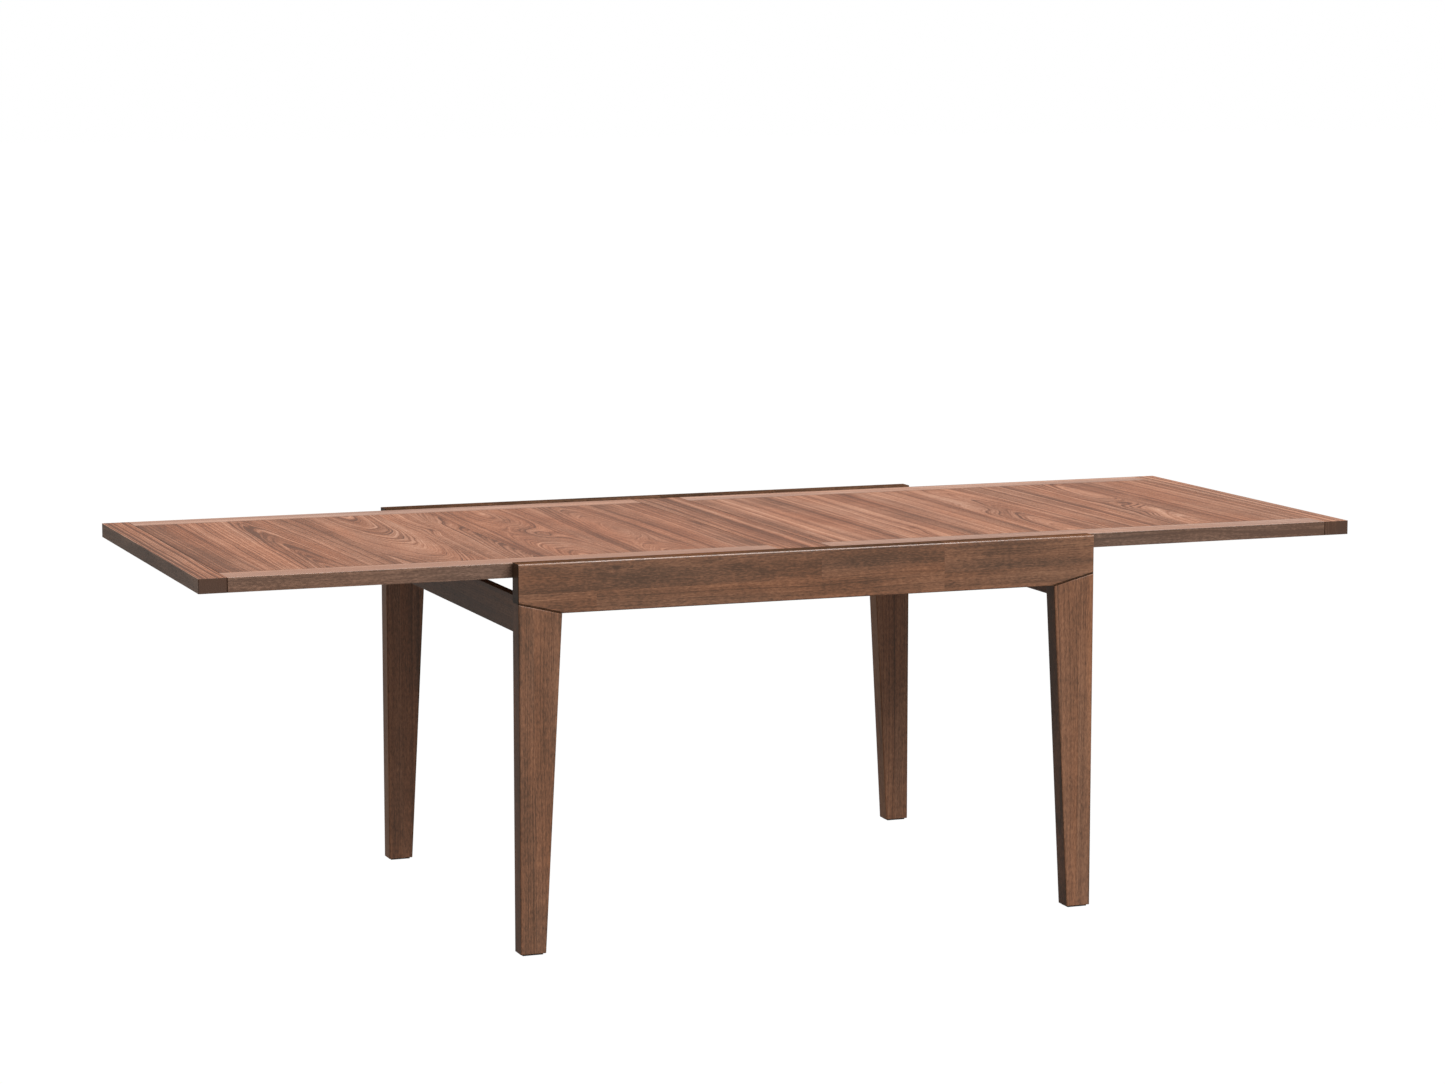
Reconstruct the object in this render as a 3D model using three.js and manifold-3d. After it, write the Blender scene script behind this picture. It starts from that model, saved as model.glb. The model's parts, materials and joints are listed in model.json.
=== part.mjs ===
// Extendable dining table, drawn open: two framed top halves meet over the middle of a four-legged
// frame and lie between its two long rails. The right half slides along the frame on a pair of
// tongued runners. The left half is hinged to it and folds over onto it.
// Millimetres, +X along the table, +Y to the back, +Z up. Origin on the floor under the centre.
import * as THREE from 'three';
import { mergeVertices } from 'three/addons/utils/BufferGeometryUtils.js';
import Module from 'manifold-3d';

const wasm = await Module();
wasm.setup();

// ---- Driving sizes ----------------------------------------------------------------------------

const FRAME_LENGTH = 1200; // long rail, end to end
const FRAME_DEPTH = 950; // over the outer faces of the long rails
const TABLE_HEIGHT = 752.5; // floor to the top edges of the long rails
const HALF_TOP_LENGTH = 1200; // one half of the top, seam to outer end

const JOINT_GAP = 0.3; // between pieces that touch
const EASE = 2.2; // rounding of the long edges of rails and legs
const EASE_STEPS = 2;
const ROUND_SIDES = 16; // sides of a round bar or hole
const OVERRUN = 1; // a cutting tool runs this far past the face it enters, and joined solids overlap by it

const RAIL_THICK = 38.5;
const RAIL_END_HEIGHT = 76; // long rail height at its outer ends
const RAIL_HEIGHT = 97; // long rail height between the legs
const RAIL_PROUD = 2.5; // the long rails stand this much above the top

const LEG_TOP_WIDTH = 87;
const LEG_FOOT_WIDTH = 51;
const GLIDE_THICK = 2.5;
const GLIDE_INSET = 5; // foot glide edge to leg edge
const DOWEL_DIAMETER = 12;
const DOWEL_LENGTH = 72;
const DOWEL_OUTER_INSET = 24; // leg's outer face to the outer dowel
const DOWEL_SPACING = 36;

const END_RAIL_THICK = 19;
const END_RAIL_HEIGHT = 70;
const END_RAIL_RECESS = 9; // leg's outer face to the end rail's outer face
const END_RAIL_DROP = 36; // underside of the top to the end rail

const BRACKET_REACH = 40;
const BRACKET_HEIGHT = 50;
const BRACKET_SHEET = 3;
const BRACKET_LIP = 8; // depth of the lip that hooks into the end rail
const BRACKET_DROP = 5; // middle of the end rail to the middle of the bracket
const BOLT_SHANK_DIAMETER = 6;
const BOLT_SHANK_LENGTH = 28;
const BOLT_HEAD_WIDTH = 13;
const BOLT_HEAD_HEIGHT = 4;
const BOLT_END_ROOM = 1; // left beyond the bolt in its hole

const TOP_THICK = 28;
const TOP_SIDE_GAP = 3; // between the top's long edge and the long rail
const SEAM_GAP = 0.6; // between the two halves
const BREADBOARD_WIDTH = 54;
const EDGE_BAND_WIDTH = 66;

const CROSSBAR_WIDTH = 70;
const CROSSBAR_THICK = 20;
const CROSSBAR_TENON = 10;
const CROSSBAR_END_INSET = 150; // end of the long rail to the middle of the outer crossbar

const GUIDE_OFFSET = 210; // middle of the table to the outer face of a guide
const GUIDE_WIDTH = 28;
const GUIDE_HEIGHT = 25;
const GUIDE_END_GAP = 4; // guide to end rail
const GROOVE_HEIGHT = 8;
const GROOVE_DEPTH = 9;
const SLIDE_CLEARANCE = 0.5; // runner and tongue to guide and groove
const RUNNER_WIDTH = 24;
const RUNNER_START = 16; // seam to the runner's inner end
const RUNNER_END_INSET = 80; // outer end of the top to the runner's outer end
const RUNNER_CROSSBAR_CLEARANCE = 2;
const STRIP_THICK = 1.6; // felt on the guides
const STRIP_WIDTH = 14;
const STRIP_CLEARANCE = 0.4; // felt to the underside of the top

const STOP_BLOCK_START = 20; // seam to the stop block
const STOP_BLOCK_LENGTH = 40;
const STOP_BLOCK_WIDTH = 60;
const STOP_THICK = 11; // fixed stops
const STOP_CLEARANCE = 0.5; // left between block and stop at each end of travel
const STOP_HEADROOM = 4; // fixed stop to the underside of the top

const FOLD_RISE = 0.3; // fold axis above the top's surface
const HINGE_SPACING = 290; // between neighbouring hinges along the seam
const CUP_LENGTH = 56;
const CUP_HEIGHT = 16;
const CUP_DEPTH = 24;
const CUP_WALL = 1.6;
const CUP_FLOOR = 6;
const CUP_DROP = 14; // top's surface to the middle of the cup
const LUG_THICK = 4;
const LUG_HEIGHT = 7;
const LUG_RISE = 1.3; // middle of the cup to the middle of its lugs
const LUG_REACH = 12; // past the seam
const RIGHT_LUG_OFFSET = 8; // middle of the hinge to the right cup's lugs
const LEFT_LUG_OFFSET = 14; // middle of the hinge to the left cup's lugs
const LINK_THICK = 8;
const LINK_WIDTH = 6;
const LINK_DROP = 1.2; // middle of the cup to the middle of the arched link
const LINK_HALF_ANGLE = Math.PI / 4;
const LINK_ARC_STEPS = 10;

// ---- Sizes that follow ------------------------------------------------------------------------

const frameHalf = FRAME_LENGTH / 2;
const outerY = FRAME_DEPTH / 2;
const innerY = outerY - RAIL_THICK;
const railMiddleY = outerY - RAIL_THICK / 2;
const topHalfWidth = innerY - TOP_SIDE_GAP;
const topSurface = TABLE_HEIGHT - RAIL_PROUD;
const topUnderside = topSurface - TOP_THICK;
const seamFace = SEAM_GAP / 2;

const endRailTop = topUnderside - END_RAIL_DROP;
const endRailOuterX = frameHalf - END_RAIL_RECESS;
const endRailInnerX = endRailOuterX - END_RAIL_THICK;
const endRailBottom = endRailTop - END_RAIL_HEIGHT;
const bracketMiddle = (endRailTop + endRailBottom) / 2 - BRACKET_DROP;
const boltX = endRailInnerX - JOINT_GAP - (BRACKET_REACH + BRACKET_SHEET) / 2;
const boltHoleRadius = BOLT_SHANK_DIAMETER / 2 + JOINT_GAP;
const legFoot = GLIDE_THICK + JOINT_GAP;

const stripTop = topUnderside - STRIP_CLEARANCE;
const guideTop = stripTop - STRIP_THICK - JOINT_GAP;
const guideBottom = guideTop - GUIDE_HEIGHT;
const guideHalf = endRailInnerX - GUIDE_END_GAP;
const guideInnerY = GUIDE_OFFSET - GUIDE_WIDTH;
const grooveMiddle = (guideTop + guideBottom) / 2;
const crossbarTop = guideBottom - JOINT_GAP;
const crossbarBottom = crossbarTop - CROSSBAR_THICK;
const runnerTop = topUnderside - JOINT_GAP;
const runnerBottom = crossbarTop + RUNNER_CROSSBAR_CLEARANCE;
const slideTravel = frameHalf; // brings the seam over the left end of the frame

const foldAxis = topSurface + FOLD_RISE;
const cupMiddle = topSurface - CUP_DROP;
const cupRadius = foldAxis - cupMiddle; // fold axis to the middle of the cup
const linkRadius = cupRadius + LINK_DROP;

// ---- Materials --------------------------------------------------------------------------------

function material(name, color, roughness, metalness) {
  return new THREE.MeshStandardMaterial({ name, color, roughness, metalness });
}

const finishes = {
  veneer: () => material('walnut_veneer', 0xa67560, 0.42, 0),
  band: () => material('light_walnut', 0xc09a82, 0.42, 0),
  walnut: () => material('dark_walnut', 0x63493b, 0.45, 0),
  beech: () => material('beech', 0xc7a57c, 0.6, 0),
  steel: () => material('zinc_steel', 0x9fa3a6, 0.35, 0.9),
  nickel: () => material('nickel', 0xb8b4ac, 0.3, 0.9),
  felt: () => material('felt', 0x4a4643, 0.95, 0),
  nylon: () => material('nylon', 0x2a2725, 0.6, 0),
};

// ---- Solids and booleans ----------------------------------------------------------------------

function toSolid(geometry) {
  const bare = geometry.clone();
  bare.deleteAttribute('normal');
  bare.deleteAttribute('uv');
  const merged = mergeVertices(bare);
  const index = merged.index.array;
  return new wasm.Manifold(new wasm.Mesh({
    numProp: 3,
    vertProperties: Float32Array.from(merged.attributes.position.array),
    triVerts: Uint32Array.from(index),
  }));
}

function toGeometry(solid) {
  const { vertProperties, triVerts } = solid.getMesh();
  const geometry = new THREE.BufferGeometry();
  geometry.setAttribute('position', new THREE.BufferAttribute(vertProperties, 3));
  geometry.setIndex(new THREE.BufferAttribute(triVerts, 1));
  geometry.computeVertexNormals();
  return geometry;
}

function cut(geometry, tools) {
  return toGeometry(tools.reduce((solid, tool) => solid.subtract(toSolid(tool)), toSolid(geometry)));
}

function join(geometries) {
  const [first, ...rest] = geometries.map(toSolid);
  return toGeometry(rest.reduce((solid, other) => solid.add(other), first));
}

/** A rectangular block between two limits on each axis. */
function block([x0, x1], [y0, y1], [z0, z1]) {
  const geometry = new THREE.BoxGeometry(x1 - x0, y1 - y0, z1 - z0);
  return geometry.translate((x0 + x1) / 2, (y0 + y1) / 2, (z0 + z1) / 2);
}

/** An upright round bar. */
function uprightRod(radius, x, y, [z0, z1]) {
  const geometry = new THREE.CylinderGeometry(radius, radius, z1 - z0, ROUND_SIDES);
  return geometry.rotateX(Math.PI / 2).translate(x, y, (z0 + z1) / 2);
}

/** A board whose outline lies in the XZ plane, centred on y = 0, with the edges of its two faces eased. */
function outlineBoard(points, thickness) {
  const shape = new THREE.Shape(points.map(([x, z]) => new THREE.Vector2(x, z)));
  const geometry = new THREE.ExtrudeGeometry(shape, {
    depth: thickness - 2 * EASE,
    bevelThickness: EASE,
    bevelSize: EASE,
    bevelOffset: -EASE,
    bevelSegments: EASE_STEPS,
  });
  return geometry.translate(0, 0, EASE - thickness / 2).rotateX(Math.PI / 2);
}

/** A bar with its section in the YZ plane, running along X from x0 to x1. */
function sectionBar(shape, [x0, x1]) {
  const settings = { depth: x1 - x0, bevelEnabled: false, curveSegments: ROUND_SIDES / 2 };
  const geometry = new THREE.ExtrudeGeometry(shape, settings);
  const turn = new THREE.Matrix4().makeBasis(
    new THREE.Vector3(0, 1, 0),
    new THREE.Vector3(0, 0, 1),
    new THREE.Vector3(1, 0, 0),
  );
  return geometry.applyMatrix4(turn).translate(x0, 0, 0);
}

function polygon(points) {
  return new THREE.Shape(points.map(([a, b]) => new THREE.Vector2(a, b)));
}

/** A slot-shaped section, round at both ends, lying along the first axis. */
function obround(length, height) {
  const radius = height / 2;
  const reach = length / 2 - radius;
  const shape = new THREE.Shape();
  shape.absarc(reach, 0, radius, -Math.PI / 2, Math.PI / 2, false);
  shape.absarc(-reach, 0, radius, Math.PI / 2, 1.5 * Math.PI, false);
  return shape;
}

function mesh(name, geometry, finish, place = [0, 0, 0]) {
  const piece = new THREE.Mesh(geometry, finish());
  piece.name = name;
  piece.position.set(...place);
  return piece;
}

function assembly(...pieces) {
  const group = new THREE.Group();
  group.add(...pieces.flat());
  return group;
}

const ENDS = [['left', -1], ['right', 1]];
const SIDES = [['front', -1], ['back', 1]];

function span(a, b) {
  return a < b ? [a, b] : [b, a];
}

// ---- Long rails -------------------------------------------------------------------------------

/** Height of the slanted joint between rail and leg, a distance in from the frame's end. */
function jointHeight(inset) {
  const slope = (RAIL_HEIGHT - RAIL_END_HEIGHT) / LEG_TOP_WIDTH;
  return TABLE_HEIGHT - RAIL_END_HEIGHT - slope * inset;
}

const dowelInsets = [DOWEL_OUTER_INSET, DOWEL_OUTER_INSET + DOWEL_SPACING];

function dowelSpan(inset, extra = 0) {
  const middle = jointHeight(inset) - JOINT_GAP / 2;
  return [middle - DOWEL_LENGTH / 2 - extra, middle + DOWEL_LENGTH / 2 + extra];
}

/** The two dowel holes over one leg, for the rail and the leg alike. */
function dowelHoles(end) {
  const radius = DOWEL_DIAMETER / 2 + JOINT_GAP;
  return dowelInsets.map((inset) => (
    uprightRod(radius, end * (frameHalf - inset), 0, dowelSpan(inset, JOINT_GAP))
  ));
}

const crossbarPlaces = [
  ['left', CROSSBAR_END_INSET - frameHalf],
  ['middle', STOP_BLOCK_START + STOP_BLOCK_LENGTH + STOP_CLEARANCE + CROSSBAR_WIDTH / 2],
  ['right', frameHalf - CROSSBAR_END_INSET],
];

function longRail(side) {
  const outline = [
    [-frameHalf, TABLE_HEIGHT],
    [-frameHalf, jointHeight(0)],
    [LEG_TOP_WIDTH - frameHalf, jointHeight(LEG_TOP_WIDTH)],
    [frameHalf - LEG_TOP_WIDTH, jointHeight(LEG_TOP_WIDTH)],
    [frameHalf, jointHeight(0)],
    [frameHalf, TABLE_HEIGHT],
  ];
  const innerFace = -side * RAIL_THICK / 2;
  const mortises = crossbarPlaces.map(([, x]) => {
    const half = CROSSBAR_WIDTH / 2 + JOINT_GAP;
    const floor = innerFace + side * (CROSSBAR_TENON + JOINT_GAP);
    const mouth = innerFace - side * OVERRUN;
    const heights = [crossbarBottom - JOINT_GAP, crossbarTop + JOINT_GAP];
    return block([x - half, x + half], span(mouth, floor), heights);
  });
  const holes = ENDS.flatMap(([, end]) => dowelHoles(end));
  return cut(outlineBoard(outline, RAIL_THICK), [...mortises, ...holes]);
}

const longRails = SIDES.map(([word, side]) => (
  mesh(`${word}_long_rail`, longRail(side), finishes.walnut, [0, side * railMiddleY, 0])
));

// ---- Legs, dowels and foot glides -------------------------------------------------------------

function leg(end) {
  const outline = [
    [end * frameHalf, jointHeight(0) - JOINT_GAP],
    [end * (frameHalf - LEG_TOP_WIDTH), jointHeight(LEG_TOP_WIDTH) - JOINT_GAP],
    [end * (frameHalf - LEG_FOOT_WIDTH), legFoot],
    [end * frameHalf, legFoot],
  ];
  return outlineBoard(outline, RAIL_THICK);
}

/** The threaded hole for the bracket's bolt, open on the leg's inner face. */
function boltHole(end, side) {
  const length = BOLT_SHANK_LENGTH - BRACKET_SHEET + BOLT_END_ROOM + OVERRUN;
  const hole = new THREE.CylinderGeometry(boltHoleRadius, boltHoleRadius, length, ROUND_SIDES);
  const mouth = -side * (RAIL_THICK / 2 + OVERRUN);
  return hole.translate(end * boltX, mouth + side * length / 2, bracketMiddle);
}

const legs = SIDES.flatMap(([depthWord, side]) => ENDS.map(([word, end]) => {
  const geometry = cut(leg(end), [...dowelHoles(end), boltHole(end, side)]);
  return mesh(`${depthWord}_${word}_leg`, geometry, finishes.walnut, [0, side * railMiddleY, 0]);
}));

const dowels = SIDES.flatMap(([depthWord, side]) => ENDS.flatMap(([word, end]) => (
  dowelInsets.map((inset, i) => {
    const name = `${depthWord}_${word}_leg_dowel_${i === 0 ? 'outer' : 'inner'}`;
    const rod = uprightRod(DOWEL_DIAMETER / 2, 0, 0, dowelSpan(inset));
    return mesh(name, rod, finishes.beech, [end * (frameHalf - inset), side * railMiddleY, 0]);
  })
)));

const footGlides = SIDES.flatMap(([depthWord, side]) => ENDS.map(([word, end]) => {
  const xs = span(end * (frameHalf - GLIDE_INSET), end * (frameHalf - LEG_FOOT_WIDTH + GLIDE_INSET));
  const half = RAIL_THICK / 2 - GLIDE_INSET;
  const pad = block(xs, [-half, half], [0, GLIDE_THICK]);
  return mesh(`${depthWord}_${word}_foot_glide`, pad, finishes.nylon, [0, side * railMiddleY, 0]);
}));

// ---- End rails with their corner brackets -----------------------------------------------------

/** Where the bracket's lip enters the end rail, measured from the long rail's inner face. */
const lipY = BRACKET_REACH - BRACKET_SHEET;

function endRail(end) {
  const reach = innerY - JOINT_GAP;
  const board = block(
    span(end * endRailInnerX, end * endRailOuterX),
    [-reach, reach],
    [endRailBottom, endRailTop],
  );
  const kerfs = SIDES.map(([, side]) => {
    const near = innerY - lipY + JOINT_GAP;
    const far = innerY - BRACKET_REACH - 2 * JOINT_GAP; // the bracket itself stands a gap off the leg
    const depth = BRACKET_LIP + JOINT_GAP;
    return block(
      span(end * (endRailInnerX - OVERRUN), end * (endRailInnerX + depth)),
      span(side * far, side * near),
      [bracketMiddle - BRACKET_HEIGHT / 2 - JOINT_GAP, bracketMiddle + BRACKET_HEIGHT / 2 + JOINT_GAP],
    );
  });
  return cut(board, kerfs);
}

const endRails = ENDS.map(([word, end]) => (
  mesh(`${word}_end_rail`, endRail(end), finishes.walnut)
));

/** An angle of bent sheet: one leaf on the leg, one on the end rail, and a lip hooked into the rail. */
function cornerBracket(end, side) {
  const x = (inward) => end * (endRailInnerX - JOINT_GAP - inward);
  const y = (inward) => side * (innerY - JOINT_GAP - inward);
  const outline = [
    [x(BRACKET_REACH), y(0)],
    [x(0), y(0)],
    [x(0), y(lipY)],
    [x(-BRACKET_LIP), y(lipY)],
    [x(-BRACKET_LIP), y(BRACKET_REACH)],
    [x(BRACKET_SHEET), y(BRACKET_REACH)],
    [x(BRACKET_SHEET), y(BRACKET_SHEET)],
    [x(BRACKET_REACH), y(BRACKET_SHEET)],
  ];
  const sheet = new THREE.ExtrudeGeometry(polygon(outline), { depth: BRACKET_HEIGHT, bevelEnabled: false });
  sheet.translate(0, 0, bracketMiddle - BRACKET_HEIGHT / 2);
  const length = BRACKET_SHEET + 2 * OVERRUN;
  const hole = new THREE.CylinderGeometry(boltHoleRadius, boltHoleRadius, length, ROUND_SIDES);
  hole.translate(end * boltX, y(BRACKET_SHEET / 2), bracketMiddle);
  return cut(sheet, [hole]);
}

/** A hexagon bolt through the bracket into the leg. */
function bracketBolt(side) {
  const headFace = innerY - JOINT_GAP - BRACKET_SHEET - JOINT_GAP;
  const radius = BOLT_SHANK_DIAMETER / 2;
  const shank = new THREE.CylinderGeometry(radius, radius, BOLT_SHANK_LENGTH, ROUND_SIDES);
  shank.translate(0, side * (headFace + BOLT_SHANK_LENGTH / 2 - OVERRUN), 0);
  const headRadius = BOLT_HEAD_WIDTH / Math.sqrt(3);
  const head = new THREE.CylinderGeometry(headRadius, headRadius, BOLT_HEAD_HEIGHT, 6);
  head.translate(0, side * (headFace - BOLT_HEAD_HEIGHT / 2), 0);
  return join([shank, head]);
}

const brackets = SIDES.flatMap(([depthWord, side]) => ENDS.flatMap(([word, end]) => [
  mesh(`${depthWord}_${word}_corner_bracket`, cornerBracket(end, side), finishes.steel),
  mesh(
    `${depthWord}_${word}_bracket_bolt`,
    bracketBolt(side),
    finishes.steel,
    [end * boltX, 0, bracketMiddle],
  ),
]));

// ---- Crossbars, guides, felt and stops --------------------------------------------------------

const crossbars = crossbarPlaces.map(([word, x]) => {
  const half = CROSSBAR_WIDTH / 2;
  const reach = innerY + CROSSBAR_TENON;
  const bar = block([-half, half], [-reach, reach], [crossbarBottom, crossbarTop]);
  return mesh(`${word}_crossbar`, bar, finishes.beech, [x, 0, 0]);
});

/** A bar with a groove in its inner side, in which the runner's tongue slides. */
function guide(side) {
  const outer = side * GUIDE_OFFSET;
  const inner = side * guideInnerY;
  const floor = side * (guideInnerY + GROOVE_DEPTH);
  const low = grooveMiddle - GROOVE_HEIGHT / 2;
  const high = grooveMiddle + GROOVE_HEIGHT / 2;
  const section = polygon([
    [outer, guideBottom],
    [inner, guideBottom],
    [inner, low],
    [floor, low],
    [floor, high],
    [inner, high],
    [inner, guideTop],
    [outer, guideTop],
  ]);
  return sectionBar(section, [-guideHalf, guideHalf]);
}

const guides = SIDES.flatMap(([word, side]) => {
  const stripMiddle = side * (GUIDE_OFFSET - GUIDE_WIDTH / 2);
  const strip = new THREE.BoxGeometry(2 * guideHalf, STRIP_WIDTH, STRIP_THICK);
  return [
    mesh(`${word}_slide_guide`, guide(side), finishes.beech),
    mesh(`${word}_felt_strip`, strip, finishes.felt, [0, stripMiddle, stripTop - STRIP_THICK / 2]),
  ];
});

const stopTop = topUnderside - STOP_HEADROOM;
const stopHalfWidth = STOP_BLOCK_WIDTH / 2;
const openStopX = STOP_BLOCK_START + STOP_BLOCK_LENGTH + STOP_CLEARANCE;
const closedStopX = STOP_BLOCK_START - slideTravel - STOP_CLEARANCE;

/** An upright batten across the middle, standing on a piece of the frame. */
function stop(name, xs, foot) {
  const board = block(xs, [-stopHalfWidth, stopHalfWidth], [foot + JOINT_GAP, stopTop]);
  return mesh(name, board, finishes.beech);
}

const stops = [
  stop('open_stop', [openStopX, openStopX + STOP_THICK], crossbarTop),
  stop('closed_stop', [closedStopX - STOP_THICK, closedStopX], endRailTop),
];

// ---- The two halves of the top ----------------------------------------------------------------

/** Half the distance over the field panel, between the two long edge bands. */
const fieldHalfWidth = topHalfWidth - EDGE_BAND_WIDTH;

const hingePlaces = [['front', -HINGE_SPACING], ['middle', 0], ['back', HINGE_SPACING]];

/** The five pieces of a framed half: breadboards at its two ends, edge bands and the field between. */
function topHalf(word, end) {
  const heights = [topUnderside, topSurface];
  const inner = seamFace + BREADBOARD_WIDTH;
  const outer = HALF_TOP_LENGTH - BREADBOARD_WIDTH;
  const between = span(end * (inner + JOINT_GAP), end * (outer - JOINT_GAP));
  const across = [-topHalfWidth, topHalfWidth];
  const pockets = hingePlaces.map(([, y]) => {
    const shape = obround(CUP_LENGTH + 2 * JOINT_GAP, CUP_HEIGHT + 2 * JOINT_GAP);
    const reach = span(end * (seamFace - OVERRUN), end * (seamFace + CUP_DEPTH + JOINT_GAP));
    return sectionBar(shape, reach).translate(0, y, cupMiddle);
  });
  const innerBoard = block(span(end * seamFace, end * inner), across, heights);
  const outerBoard = block(span(end * outer, end * HALF_TOP_LENGTH), across, heights);
  const field = block(between, [-fieldHalfWidth + JOINT_GAP, fieldHalfWidth - JOINT_GAP], heights);
  const bands = SIDES.map(([depthWord, side]) => mesh(
    `${word}_${depthWord}_edge_band`,
    block(between, span(side * fieldHalfWidth, side * topHalfWidth), heights),
    finishes.band,
  ));
  return [
    mesh(`${word}_field_panel`, field, finishes.veneer),
    mesh(`${word}_inner_breadboard`, cut(innerBoard, pockets), finishes.veneer),
    mesh(`${word}_outer_breadboard`, outerBoard, finishes.veneer),
    ...bands,
  ];
}

/** A bar under the right half, with a tongue that slides in its guide's groove. */
function runner(side) {
  const back = side * (guideInnerY - SLIDE_CLEARANCE);
  const front = side * (guideInnerY - SLIDE_CLEARANCE - RUNNER_WIDTH);
  const tip = side * (guideInnerY + GROOVE_DEPTH - SLIDE_CLEARANCE);
  const low = grooveMiddle - GROOVE_HEIGHT / 2 + SLIDE_CLEARANCE;
  const high = grooveMiddle + GROOVE_HEIGHT / 2 - SLIDE_CLEARANCE;
  const section = polygon([
    [front, runnerBottom],
    [back, runnerBottom],
    [back, low],
    [tip, low],
    [tip, high],
    [back, high],
    [back, runnerTop],
    [front, runnerTop],
  ]);
  return sectionBar(section, [RUNNER_START, HALF_TOP_LENGTH - RUNNER_END_INSET]);
}

const runners = SIDES.map(([word, side]) => mesh(`${word}_slide_runner`, runner(side), finishes.beech));

const stopBlock = mesh(
  'slide_stop_block',
  block(
    [STOP_BLOCK_START, STOP_BLOCK_START + STOP_BLOCK_LENGTH],
    [-stopHalfWidth, stopHalfWidth],
    [runnerBottom, runnerTop],
  ),
  finishes.beech,
);

// ---- Concealed hinges across the seam ---------------------------------------------------------

/** A cup let into the end face of one half, with two lugs that reach across into the other cup. */
function hingeCup(end, lugOffset) {
  const body = sectionBar(
    obround(CUP_LENGTH, CUP_HEIGHT),
    span(end * seamFace, end * (seamFace + CUP_DEPTH)),
  );
  const hollow = sectionBar(
    obround(CUP_LENGTH - 2 * CUP_WALL, CUP_HEIGHT - 2 * CUP_WALL),
    span(end * (seamFace - OVERRUN), end * (seamFace + CUP_DEPTH - CUP_FLOOR)),
  );
  const shell = cut(body, [hollow]).translate(0, 0, -cupRadius);
  const lugMiddle = LUG_RISE - cupRadius;
  const lugs = [-1, 1].map((hand) => block(
    span(-end * LUG_REACH, end * (seamFace + CUP_DEPTH - CUP_FLOOR / 2)),
    [hand * lugOffset - LUG_THICK / 2, hand * lugOffset + LUG_THICK / 2],
    [lugMiddle - LUG_HEIGHT / 2, lugMiddle + LUG_HEIGHT / 2],
  ));
  return join([shell, ...lugs]);
}

/** An arched link hung round the fold axis, lying in both cups while the top is flat. */
function hingeLink() {
  const start = -Math.PI / 2 - LINK_HALF_ANGLE;
  const end = -Math.PI / 2 + LINK_HALF_ANGLE;
  const shape = new THREE.Shape();
  shape.absarc(0, 0, linkRadius + LINK_WIDTH / 2, start, end, false);
  shape.absarc(0, 0, linkRadius - LINK_WIDTH / 2, end, start, true);
  const settings = { depth: LINK_THICK, bevelEnabled: false, curveSegments: LINK_ARC_STEPS };
  return new THREE.ExtrudeGeometry(shape, settings).translate(0, 0, -LINK_THICK / 2).rotateX(Math.PI / 2);
}

const rightCups = hingePlaces.map(([word, y]) => (
  mesh(`${word}_hinge_right_cup`, hingeCup(1, RIGHT_LUG_OFFSET), finishes.nickel, [0, y, foldAxis])
));
const leftCups = hingePlaces.map(([word, y]) => (
  mesh(`${word}_hinge_left_cup`, hingeCup(-1, LEFT_LUG_OFFSET), finishes.nickel, [0, y, foldAxis])
));
const links = hingePlaces.map(([word, y]) => (
  mesh(`${word}_hinge_link`, hingeLink(), finishes.nickel, [0, y, foldAxis])
));

// ---- The table --------------------------------------------------------------------------------

const frame = assembly(longRails, legs, dowels, footGlides, endRails, brackets, crossbars, guides, stops);
const slidingTop = assembly(topHalf('right', 1), runners, stopBlock, rightCups);
const foldingTop = assembly(topHalf('left', -1), leftCups);
const group = assembly(frame, slidingTop, foldingTop, links);

export default group;
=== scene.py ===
import json
import math
from collections import namedtuple

import bmesh
import bpy
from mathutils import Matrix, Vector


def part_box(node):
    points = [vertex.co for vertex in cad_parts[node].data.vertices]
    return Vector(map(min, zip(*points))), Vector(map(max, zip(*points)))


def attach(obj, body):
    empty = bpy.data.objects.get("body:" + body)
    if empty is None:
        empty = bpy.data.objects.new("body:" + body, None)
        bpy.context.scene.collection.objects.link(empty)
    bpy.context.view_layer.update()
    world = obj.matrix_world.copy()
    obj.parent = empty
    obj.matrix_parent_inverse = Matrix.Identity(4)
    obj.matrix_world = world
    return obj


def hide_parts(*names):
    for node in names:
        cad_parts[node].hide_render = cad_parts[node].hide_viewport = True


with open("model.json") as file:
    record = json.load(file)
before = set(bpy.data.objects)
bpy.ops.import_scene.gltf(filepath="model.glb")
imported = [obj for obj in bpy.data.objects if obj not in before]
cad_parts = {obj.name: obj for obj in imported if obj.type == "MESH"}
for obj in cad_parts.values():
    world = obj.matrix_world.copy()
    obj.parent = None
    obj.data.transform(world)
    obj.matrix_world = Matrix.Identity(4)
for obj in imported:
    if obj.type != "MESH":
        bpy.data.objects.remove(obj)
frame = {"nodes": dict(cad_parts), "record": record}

scene = bpy.context.scene
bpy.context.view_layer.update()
MM = 0.001
X, Y, Z = 0, 1, 2

BODY_OF = {
    node: body
    for body, nodes in frame["record"]["behaviour"]["bodies"].items()
    for node in nodes
}
SIDES = (("front", -1), ("back", 1))
ENDS = (("left", -1), ("right", 1))

# ---- Sizes that the looks add ------------------------------------------------------------------

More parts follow.
